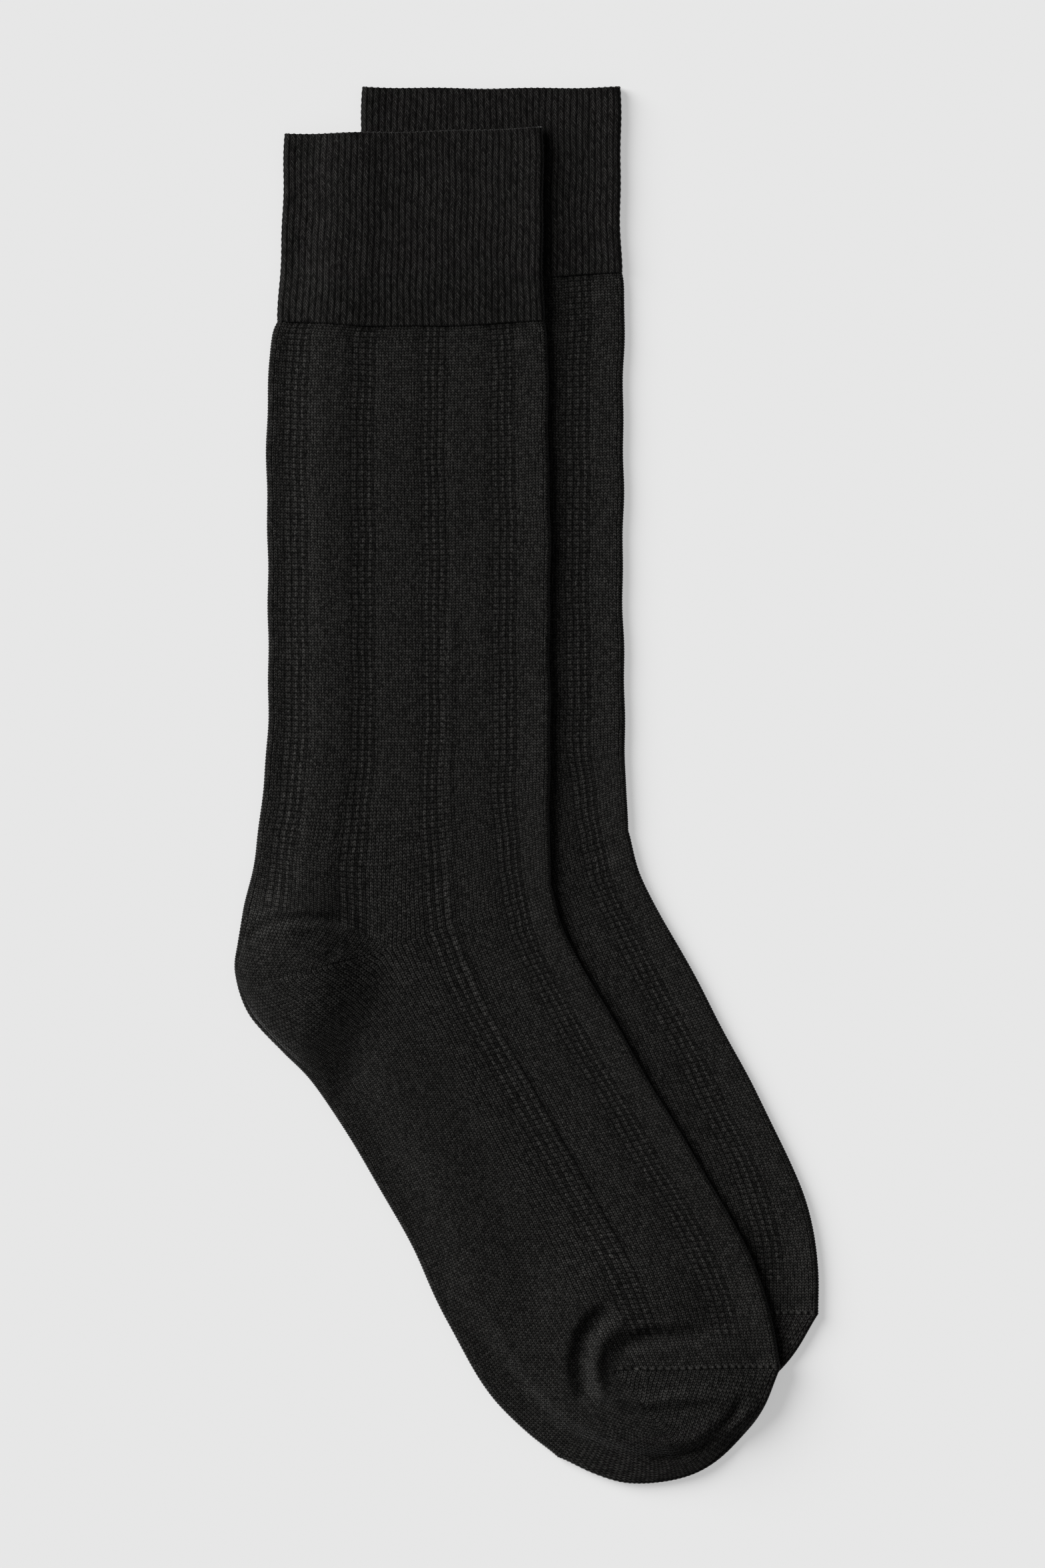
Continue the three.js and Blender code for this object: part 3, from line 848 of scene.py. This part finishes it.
@dataclass
class CuffPiece(ClothPiece):
    """The ribbed cuff, with a rounded and scalloped top edge."""

    slot: str = "rib_knit"
    fold_wales: float = 6.36
    fold_steps: int = 24
    rows_per_course: float = 1.0
    points_per_rib: int = 8
    edge_radius: float = 0.5 * MM
    edge_rows: tuple = (0.04, 0.1, 0.2, 0.32, 0.48, 0.7)
    scallop: float = 0.3
    scallop_courses: float = 1.5

    @property
    def wall(self) -> float:
        """The thickness of the ribbed cloth."""
        return self.knit.cuff_wall

    @property
    def fold_radius(self) -> float:
        """The outer radius of the cuff's side folds."""
        return self.knit.cuff_fold_radius

    @property
    def course_height(self) -> float:
        """The height of a course of the rib."""
        return self.knit.rib_course_height

    def columns(self) -> np.ndarray:
        """Shares at which the upper panel has its points, several to each rib."""
        count = round(self.knit.cuff_ribs * self.points_per_rib * (1 - 2 * BESIDE_FOLD))
        return np.linspace(BESIDE_FOLD, 1 - BESIDE_FOLD, count + 1)

    def under_columns(self) -> np.ndarray:
        """Shares at which the under panel has its points."""
        count = round(self.knit.cuff_ribs * self.points_per_rib / 2 * (1 - 2 * BESIDE_FOLD))
        return np.linspace(BESIDE_FOLD, 1 - BESIDE_FOLD, count + 1)

    def rows(self) -> tuple:
        """Rows as for any piece, with more beside the rounded ends."""
        rows, courses = super().rows()
        last = courses[-1]
        extra = np.array([*self.edge_rows, *(last - np.array(self.edge_rows))])
        wanted = np.sort(np.append(courses, extra))
        return np.interp(wanted, courses, rows), wanted

    def rib(self) -> np.ndarray:
        """How high the rib stands at each station, from 0 to 1."""
        return 0.5 - 0.5 * np.cos(math.pi * self.wales)

    def relief(self, courses: np.ndarray) -> np.ndarray:
        """The ribs' height at each row and station."""
        return np.tile(self.knit.rib_height * self.rib() ** 0.6, (len(courses), 1))

    def thinning(self, courses: np.ndarray) -> np.ndarray:
        """The rounding of the cuff's two ends."""
        from_end = np.minimum(courses, courses[-1] - courses) * self.course_height
        short = np.clip(self.edge_radius - from_end, 0.0, self.edge_radius)
        return self.edge_radius - np.sqrt(self.edge_radius**2 - short**2)

    def edge_shift(self, courses: np.ndarray) -> np.ndarray:
        """The scallops of the top edge, one to a rib."""
        near = 1 - smooth(courses / self.scallop_courses)
        return self.scallop * near[:, None] * (self.rib() - 0.5)[None]


@dataclass
class BandedPiece(ClothPiece):
    """The leg or the foot, with beaded bands down it."""

    bands: Bands = Bands()
    first_band: int = 0
    ends_before: float = 0.0
    ending_share: float = PIVOT
    has_seam: bool = False
    seam_height: float = 0.55 * MM
    seam_inset: float = 0.6
    wales_per_loop: float = 2.0
    ground_step: float = 0.0119
    band_step: float = 0.00665

    def band_middles(self) -> tuple:
        """The shares at which the piece's bands have their middles."""
        return self.bands.middles[self.first_band :]

    def columns(self) -> np.ndarray:
        """Shares at which the upper panel has its points, close together on the bands."""
        ground = np.linspace(BESIDE_FOLD, 1 - BESIDE_FOLD, round((1 - 2 * BESIDE_FOLD) / self.ground_step) + 1)
        reach = np.arange(-7, 8) * self.band_step
        near = np.concatenate([middle + reach for middle in self.band_middles()])
        near = np.append(near, PIVOT)
        apart = np.abs(ground[:, None] - near[None]).min(axis=1) > self.band_step
        return np.unique(np.concatenate([ground[apart], near, [BESIDE_FOLD, 1 - BESIDE_FOLD]]))

    def relief(self, courses: np.ndarray) -> np.ndarray:
        """The height of the beads on the upper panel, at each row and station."""
        middles = np.array(self.band_middles())
        away = np.abs(self.shares[:, None] - middles[None]).min(axis=1)
        band = smooth((self.bands.half_width - away) / self.bands.shoulder)
        column = 0.5 + 0.5 * np.cos(2 * math.pi * away / self.bands.bead_pitch)
        column *= smooth((self.bands.beaded_half_width - away) / self.bands.shoulder)
        row = 0.5 - 0.5 * np.cos(2 * math.pi * courses / self.bands.courses_per_bead)
        fading = smooth((courses[-1] - self.ends_before - courses) / self.bands.fading_courses)
        shown = np.where(self.shares < self.ending_share, fading[:, None], 1.0)
        beads = band[None] * (0.2 + 0.8 * column[None] * row[:, None] ** 0.5)
        ground = smooth((away - self.bands.groove) / self.bands.crown_width)
        bands = self.knit.band_height * beads + self.knit.crown_height * (ground[None] - 1.0)
        height = shown * bands + self.seam_relief(courses)
        return np.where(self.stations.mask(Panel.UPPER), height, 0.0)

    def seam_relief(self, courses: np.ndarray) -> np.ndarray:
        """The chain of loops along the toe seam, at the foot's end before the instep."""
        if not self.has_seam:
            return 0.0
        near = np.exp(-(((courses[-1] - self.seam_inset - courses) / self.seam_inset) ** 2))
        loops = 0.6 + 0.4 * np.cos(2 * math.pi * self.wales / self.wales_per_loop)
        along = smooth((self.shares - PIVOT) / 0.02)
        return self.seam_height * near[:, None] * (loops * along)[None]

    def rows(self) -> tuple:
        """Rows as for any piece, with more beside the seam."""
        rows, courses = super().rows()
        if not self.has_seam:
            return rows, courses
        extra = courses[-1] - np.array([0.15, 0.3, 0.75, 1.25])
        wanted = np.sort(np.append(courses, extra))
        return np.interp(wanted, courses, rows), wanted


@dataclass
class PocketPiece(ClothPiece):
    """The heel or the toe: courses run from one seam to the gore and back, and meet at an angle there."""

    rows_per_course: float = 2.0
    pivot_share: float = 0.4597
    straight_share: float = SIDE
    gore_depth: float = 0.22 * MM
    gore_width: float = 0.02

    def columns(self) -> np.ndarray:
        """Shares at which the upper panel has its points."""
        return np.linspace(BESIDE_FOLD, self.pivot_share, 38)

    def under_columns(self) -> np.ndarray:
        """Shares at which the under panel has its points."""
        return np.linspace(BESIDE_FOLD, self.pivot_share, 20)

    def relief(self, courses: np.ndarray) -> np.ndarray:
        """The narrow groove along the gore, where the courses turn."""
        down = courses / courses[-1]
        across = np.exp(-(((down - 0.5) / self.gore_width) ** 2))
        along = smooth((self.shares - BESIDE_FOLD) / 0.1) * smooth((self.pivot_share - self.shares) / 0.05)
        groove = self.gore_depth * across[:, None] * along[None]
        return np.where(self.stations.mask(Panel.UPPER), -groove, 0.0)

    def half_courses(self, shares: np.ndarray) -> np.ndarray:
        """How many courses lie between the seam and the gore at each share of the width."""
        lengths = []
        for share in np.maximum(shares, self.straight_share):
            lengths.append(self.layout.lengths(np.array([share]))[1][-1])
        return np.array(lengths) * MM / self.course_height / 2

    def rows(self) -> tuple:
        """Evenly spaced rows, with the course that each would be without the gore."""
        longest = self.half_courses(np.array([BACK]))[0] * 2
        count = round(longest * self.rows_per_course / 2) * 2
        rows = np.linspace(0.0, self.layout.last, count + 1)
        return rows, rows / self.layout.last * longest

    def course_marks(self, rows: np.ndarray, courses: np.ndarray) -> tuple:
        """Courses counted from the seam at one side of the gore and back to the other seam past it."""
        half = self.half_courses(self.shares)
        down = (rows / self.layout.last)[:, None]
        whole = round(2 * half.max())
        first = 2 * half * down
        second = whole - 2 * half * (1 - down)
        upper_half = (np.arange(len(rows) - 1) < (len(rows) - 1) // 2)[:, None]
        return np.where(upper_half, first[:-1], second[:-1]), np.where(upper_half, first[1:], second[1:])


class Signal:
    """A number that a shader's node gives, which can be added, multiplied and so on."""

    def __init__(self, tree: bpy.types.NodeTree, socket: bpy.types.NodeSocket) -> None:
        """Keeps the node tree and the output."""
        self.tree = tree
        self.socket = socket

    def apply(self, operation: str, *others: object) -> "Signal":
        """The result of a Math node on this number and some others."""
        node = self.tree.nodes.new("ShaderNodeMath")
        node.operation = operation
        for index, value in enumerate([self, *others]):
            if isinstance(value, Signal):
                self.tree.links.new(value.socket, node.inputs[index])
            else:
                node.inputs[index].default_value = value
        return Signal(self.tree, node.outputs[0])

    def __add__(self, other: object) -> "Signal":
        """The sum."""
        return self.apply("ADD", other)

    def __rmul__(self, other: float) -> "Signal":
        """The product with a plain number."""
        return self.apply("MULTIPLY", other)

    def __sub__(self, other: object) -> "Signal":
        """The difference."""
        return self.apply("SUBTRACT", other)

    def __rsub__(self, other: float) -> "Signal":
        """A plain number less this one."""
        return self.apply("MULTIPLY", -1.0).apply("ADD", other)

    def __mul__(self, other: object) -> "Signal":
        """The product."""
        return self.apply("MULTIPLY", other)

    def __pow__(self, power: float) -> "Signal":
        """The power of the part above 0."""
        return self.apply("MAXIMUM", 0.0).apply("POWER", power)

    def smooth(self, low: float, high: float) -> "Signal":
        """A soft step from 0 to 1 as this number goes from low to high."""
        node = self.tree.nodes.new("ShaderNodeMapRange")
        node.interpolation_type = "SMOOTHSTEP"
        self.tree.links.new(self.socket, node.inputs["Value"])
        node.inputs["From Min"].default_value = low
        node.inputs["From Max"].default_value = high
        return Signal(self.tree, node.outputs["Result"])

    def mix(self, other: "Signal", share: "Signal") -> "Signal":
        """This number where the share is 0 and the other where it is 1."""
        return self + (other - self) * share


@dataclass(frozen=True)
class Leg:
    """One side of the V of a stitch: where it lies across the wale, its half width, its slant and its tone, which is
    painted light: brighter for a leg that faces the light from the left, darker for one that faces away.
    """

    middle: float
    half_width: float
    slant: float
    tone: float = 1.0


@dataclass(frozen=True)
class KnitFinish:
    """The look of one knit: its yarn, its stitches and its bands."""

    name: str
    legs: tuple
    wales_per_stitch: float
    yarn: tuple = (0.0081, 0.0079, 0.0075)
    # Painted shade in the gaps between stitches and painted highlight on their crests, as shares of the yarn's colour
    painted_gap_shade: float = 0.03
    painted_crest_highlight: float = 3.7
    stitch_depth: float = 0.09 * MM
    between_stitches: float = 0.05
    grain: float = 0.7
    bead_waver: float = 0.005
    band_middles: tuple = ()
    bands: Bands = Bands()
    band_end: float = 0.0
    ending_share: float = PIVOT
    seam_course: float = 0.0
    roughness: float = 0.9
    sheen: float = 0.25
    sheen_roughness: float = 0.3
    specular: float = 0.02

    def material(self) -> bpy.types.Material:
        """Makes the finish as a material."""
        made = bpy.data.materials.new(self.name)
        made.use_nodes = True
        tree = made.node_tree
        shader = tree.nodes["Principled BSDF"]
        shader.inputs["Roughness"].default_value = self.roughness
        shader.inputs["Specular IOR Level"].default_value = self.specular
        shader.inputs["Sheen Weight"].default_value = self.sheen
        shader.inputs["Sheen Roughness"].default_value = self.sheen_roughness
        wale, course = self.stitch_place(tree)
        height, chance = self.stitches(tree, wale, course)
        tone = self.tone(tree, height, chance)
        bump = tree.nodes.new("ShaderNodeBump")
        bump.inputs["Distance"].default_value = self.stitch_depth
        tree.links.new(height.socket, bump.inputs["Height"])
        tree.links.new(bump.outputs["Normal"], shader.inputs["Normal"])
        # The base colour is the yarn's colour times its tone, which holds the painted shade and painted highlight of
        # the stitches
        colour = tree.nodes.new("ShaderNodeVectorMath")
        colour.operation = "SCALE"
        colour.inputs[0].default_value = self.yarn
        tree.links.new(tone.socket, colour.inputs["Scale"])
        tree.links.new(colour.outputs["Vector"], shader.inputs["Base Color"])
        return made

    def coordinates(self, tree: bpy.types.NodeTree, name: str) -> list:
        """The two numbers of a UV map."""
        uv = tree.nodes.new("ShaderNodeUVMap")
        uv.uv_map = name
        split = tree.nodes.new("ShaderNodeSeparateXYZ")
        tree.links.new(uv.outputs["UV"], split.inputs[0])
        return [Signal(tree, split.outputs[index]) for index in (0, 1)]

    def noise(self, tree: bpy.types.NodeTree, scale: float, detail: float = 2.0) -> Signal:
        """Smooth noise from -0.5 to 0.5 over the object, with so many cells to the metre."""
        place = tree.nodes.new("ShaderNodeTexCoord")
        node = tree.nodes.new("ShaderNodeTexNoise")
        node.inputs["Scale"].default_value = scale
        node.inputs["Detail"].default_value = detail
        tree.links.new(place.outputs["Object"], node.inputs["Vector"])
        return Signal(tree, node.outputs["Fac"]) - 0.5

    def stitch_place(self, tree: bpy.types.NodeTree) -> tuple:
        """Wale and course, made a little uneven."""
        wale, course = self.coordinates(tree, "knit")
        wale = wale + self.noise(tree, 420.0) * 0.45 + self.noise(tree, 1500.0) * 0.25
        course = course + self.noise(tree, 380.0) * 0.6 + self.noise(tree, 1400.0) * 0.3
        return wale, course

    def stitches(self, tree: bpy.types.NodeTree, wale: Signal, course: Signal) -> tuple:
        """The height of the yarn from 0 to 1, and a number by chance for each stitch."""
        across = (wale * (1.0 / self.wales_per_stitch)).apply("FRACT")
        height = chance = None
        for leg in self.legs:
            reach = across - leg.middle
            beside = reach * (1.0 / leg.half_width)
            width = (1.0 - beside * beside) ** 0.5
            along = course + reach * leg.slant
            turn = along.apply("FRACT") * 2.0 - 1.0
            length = 1.0 - turn.apply("ABSOLUTE") ** 1.9
            # The leg's tone is painted light and shade, and also scales its height
            rise = width * (length * (1 - self.between_stitches) + self.between_stitches) * leg.tone
            spot = self.chance(tree, wale, along, leg.middle)
            here = (1.0 - beside.apply("ABSOLUTE")).apply("GREATER_THAN", 0.0)
            height = rise if height is None else height.apply("MAXIMUM", rise)
            chance = spot * here if chance is None else chance + spot * here
        return self.seamed(tree, self.banded(tree, height)), chance

    def chance(self, tree: bpy.types.NodeTree, wale: Signal, along: Signal, middle: float) -> Signal:
        """A number from 0 to 1 by chance for each side of each stitch."""
        whole = (wale * (1.0 / self.wales_per_stitch)).apply("FLOOR") + middle
        join = tree.nodes.new("ShaderNodeCombineXYZ")
        tree.links.new(whole.socket, join.inputs[0])
        tree.links.new(along.apply("FLOOR").socket, join.inputs[1])
        node = tree.nodes.new("ShaderNodeTexWhiteNoise")
        node.noise_dimensions = "2D"
        tree.links.new(join.outputs[0], node.inputs["Vector"])
        return Signal(tree, node.outputs["Value"])

    def banded(self, tree: bpy.types.NodeTree, height: Signal) -> Signal:
        """The same height with the beaded bands worked in."""
        if not self.band_middles:
            return height
        share, course = self.coordinates(tree, "place")
        share = share + self.noise(tree, 500.0) * self.bead_waver + self.noise(tree, 1200.0) * self.bead_waver
        course = course + self.noise(tree, 450.0) * 0.8
        away = None
        for middle in self.band_middles:
            distance = (share - middle).apply("ABSOLUTE")
            away = distance if away is None else away.apply("MINIMUM", distance)
        bands = self.bands
        inside_band = 1.0 - away.smooth(bands.half_width - bands.shoulder, bands.half_width)
        ended = course.smooth(self.band_end - 2.0, self.band_end)
        ended = ended * (1.0 - share.smooth(self.ending_share - bands.shoulder, self.ending_share))
        inside_band = inside_band * (1.0 - ended)
        column = (away * (2 * math.pi / bands.bead_pitch)).apply("COSINE") * 0.5 + 0.5
        row = 0.5 - (course * (2 * math.pi / bands.courses_per_bead)).apply("COSINE") * 0.5
        bead = column * row ** 0.6
        groove = away.smooth(bands.groove - bands.line_width, bands.groove)
        groove = groove * (1.0 - away.smooth(bands.groove, bands.groove + bands.line_width))
        inner = (height * 0.85 + 0.15 * bead) * (bead * 0.8 + 0.7) * (groove * 0.2 + 1.0)
        return height.mix(inner, inside_band)

    def seamed(self, tree: bpy.types.NodeTree, height: Signal) -> Signal:
        """The same height with the chain of loops along the toe seam."""
        if not self.seam_course:
            return height
        share, course = self.coordinates(tree, "place")
        wale = self.coordinates(tree, "knit")[0]
        behind = self.seam_course - course
        loops = (wale * math.pi).apply("COSINE") * 0.45 + 0.45
        chain = (height * 0.4 + loops) * behind.smooth(-0.5, 0.3)
        near = (1.0 - behind.smooth(0.9, 1.4)) * share.smooth(PIVOT, PIVOT + 0.02)
        return height.mix(chain, near)

    def tone(self, tree: bpy.types.NodeTree, height: Signal, chance: Signal) -> Signal:
        """How bright the yarn is: painted shade between the stitches and a painted highlight on their crests, and
        uneven from stitch to stitch.
        """
        # Painted light and shade from the yarn's height: dark in the gaps, bright on the crests
        shade = height ** 1.3 * (self.painted_crest_highlight - self.painted_gap_shade) + self.painted_gap_shade
        uneven = chance * 1.0 + 0.5
        broad = self.noise(tree, 50.0, 2.0) * 0.3 + 1.0
        fibre = self.noise(tree, 2600.0, 1.0) * 1.5 + 1.0
        grain = self.noise(tree, 640.0, 1.0) * self.grain + 1.0
        return shade * uneven * broad * fibre * grain


CUFF_YARN = (0.0065, 0.0063, 0.006)
# The last number of each leg is painted light: the leg facing the light from the left is painted brighter, the other
# darker; it also scales the leg's height for the bump
GROUND_LEGS = (Leg(0.24, 0.19, 1.7, 1.1), Leg(0.68, 0.27, -1.25, 0.9))
RIB_LEGS = (Leg(0.14, 0.14, 4.2, 0.95), Leg(0.53, 0.27, -2.9, 1.0), Leg(0.89, 0.12, 3.4, 0.5))


@dataclass
class Studio:
    """The pale floor, the soft light from the upper left and the camera straight above."""

    floor_size: float = 6.0
    floor_drop: float = 0.3 * MM
    floor_tone: float = 0.36
    floor_glow: float = 0.441
    frame_height: float = 0.5292
    aim: tuple = (-0.00158, 0.00045)
    lens: float = 250.0
    sensor: float = 36.0
    sky: float = 0.15
    key_strength: float = 5.55
    key_spread: float = 40.0
    key_elevation: float = 28.5
    key_from: float = 150.0

    def build(self) -> None:
        """Makes floor, lights and camera."""
        self.make_floor()
        self.make_light()
        self.make_camera()
        bpy.context.scene.view_settings.view_transform = "Standard"

    def make_floor(self) -> None:
        """A plain pale sheet that the socks lie on."""
        bpy.ops.object.select_all(action="DESELECT")
        bpy.ops.mesh.primitive_plane_add(size=self.floor_size, location=(0.0, 0.0, -self.floor_drop))
        floor = bpy.context.object
        floor.name = "floor"
        paper = bpy.data.materials.new("pale_paper")
        paper.use_nodes = True
        shader = paper.node_tree.nodes["Principled BSDF"]
        shader.inputs["Base Color"].default_value = (self.floor_tone, self.floor_tone, self.floor_tone, 1.0)
        shader.inputs["Roughness"].default_value = 1.0
        shader.inputs["Specular IOR Level"].default_value = 0.0
        shader.inputs["Emission Color"].default_value = (1.0, 1.0, 1.0, 1.0)
        shader.inputs["Emission Strength"].default_value = self.floor_glow
        floor.data.materials.append(paper)

    def make_light(self) -> None:
        """A broad soft key from the upper left and an even sky."""
        world = bpy.data.worlds.new("soft_sky")
        world.use_nodes = True
        world.node_tree.nodes["Background"].inputs["Color"].default_value = (1.0, 1.0, 1.0, 1.0)
        world.node_tree.nodes["Background"].inputs["Strength"].default_value = self.sky
        bpy.context.scene.world = world
        key = bpy.data.lights.new("key", "SUN")
        key.energy = self.key_strength
        key.angle = math.radians(self.key_spread)
        lamp = bpy.data.objects.new("key", key)
        lamp.rotation_euler = (0.0, math.radians(90.0 - self.key_elevation), math.radians(self.key_from))
        bpy.context.scene.collection.objects.link(lamp)

    def make_camera(self) -> None:
        """A long lens straight above, whose long side is the frame's height."""
        camera = bpy.data.cameras.new("overhead")
        camera.lens = self.lens
        camera.sensor_width = self.sensor
        distance = self.frame_height / self.sensor * self.lens
        camera.clip_end = 4 * distance
        made = bpy.data.objects.new("overhead", camera)
        made.location = (*self.aim, distance)
        bpy.context.scene.collection.objects.link(made)
        bpy.context.scene.camera = made


@dataclass
class Pair:
    """Both socks, and what they are finished with."""

    knit: Knit = Knit()
    drape: Drape = Drape()
    bands: Bands = Bands()
    band_gap: float = 11.0

    def pieces_of(self, sock: Sock, height_map: HeightMap) -> list:
        """The five pieces of a sock, from the cuff to the toe."""
        common = {"sock": sock, "knit": self.knit, "height_map": height_map}
        return [
            CuffPiece("cuff", **common),
            BandedPiece("leg", **common),
            PocketPiece("heel", **common),
            BandedPiece(
                "foot", first_band=2, ends_before=self.band_gap, ending_share=FRONT + 1, has_seam=True, **common
            ),
            PocketPiece("toe", **common),
        ]

    def finishes(self, pieces: list) -> dict:
        """The finish of each piece of a sock, under the names of sock and piece."""
        sock = pieces[0].sock.name
        ends = {piece.name: piece.rows()[1][-1] for piece in pieces}
        middles = self.bands.middles
        leg = KnitFinish(f"{sock}_banded_leg", GROUND_LEGS, 1.0, band_middles=middles, band_end=ends["leg"])
        foot = KnitFinish(
            f"{sock}_banded_foot",
            GROUND_LEGS,
            1.0,
            band_middles=middles[2:],
            band_end=ends["foot"] - self.band_gap,
            ending_share=FRONT + 1,
            bead_waver=0.009,
            seam_course=ends["foot"],
        )
        plain = KnitFinish(f"{sock}_heel_knit", GROUND_LEGS, 1.0)
        cuff = KnitFinish(f"{sock}_ribbed_cuff", RIB_LEGS, 2.0, stitch_depth=0.12 * MM, yarn=CUFF_YARN)
        toe = replace(plain, name=f"{sock}_toe_knit")
        made = {"cuff": cuff, "leg": leg, "heel": plain, "foot": foot, "toe": toe}
        return {(sock, name): finish.material() for name, finish in made.items()}

    def build(self) -> None:
        """Makes and finishes every piece, ties each to its body and hides the model's solid that it stands for."""
        upper, lower = Sock("upper", UPPER), Sock("lower", LOWER)
        height_map = self.drape.height_map(lower, upper, self.knit)
        outlines = np.concatenate([upper.outline(), lower.outline()])
        middle = (outlines.min(axis=0) + outlines.max(axis=0)) / 2 * MM
        pieces = self.pieces_of(upper, height_map) + self.pieces_of(lower, None)
        finishes = {**self.finishes(pieces[:5]), **self.finishes(pieces[5:])}
        for piece in pieces:
            made = piece.build(middle)
            made.data.materials.append(finishes[piece.sock.name, piece.name])
            select_only(made)
            bpy.ops.object.shade_smooth_by_angle(angle=math.radians(40.0))
            self.declare(piece, made)

    def declare(self, piece: ClothPiece, made: bpy.types.Object) -> None:
        """Ties a piece to its body, hides the model's solid of the same name and logs its size."""
        area = sum(polygon.area for polygon in made.data.polygons) / 2
        rows, lengths = piece.layout.lengths(np.array([BACK, SIDE, 0.4]))
        length = piece.layout.lengths(np.array([0.0]))[1][-1] * MM
        width = (piece.wales[-1] - piece.wales[0]) * self.knit.wale_width
        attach(made, BODY)
        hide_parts(f"{piece.sock.name}_{piece.name}")
        whole = max(area / 0.98, width * length)
        whole / width
        LOG.info("%s: %d faces, %.0f by %.0f mm", made.name, len(made.data.polygons), width / MM, length / MM)


def main() -> None:
    """Builds the pair and its studio, and notes the sizes."""
    logging.basicConfig(level=logging.INFO, format="%(name)s %(message)s")
    Studio().build()
    Pair().build()


if __name__ == "__main__":
    main()
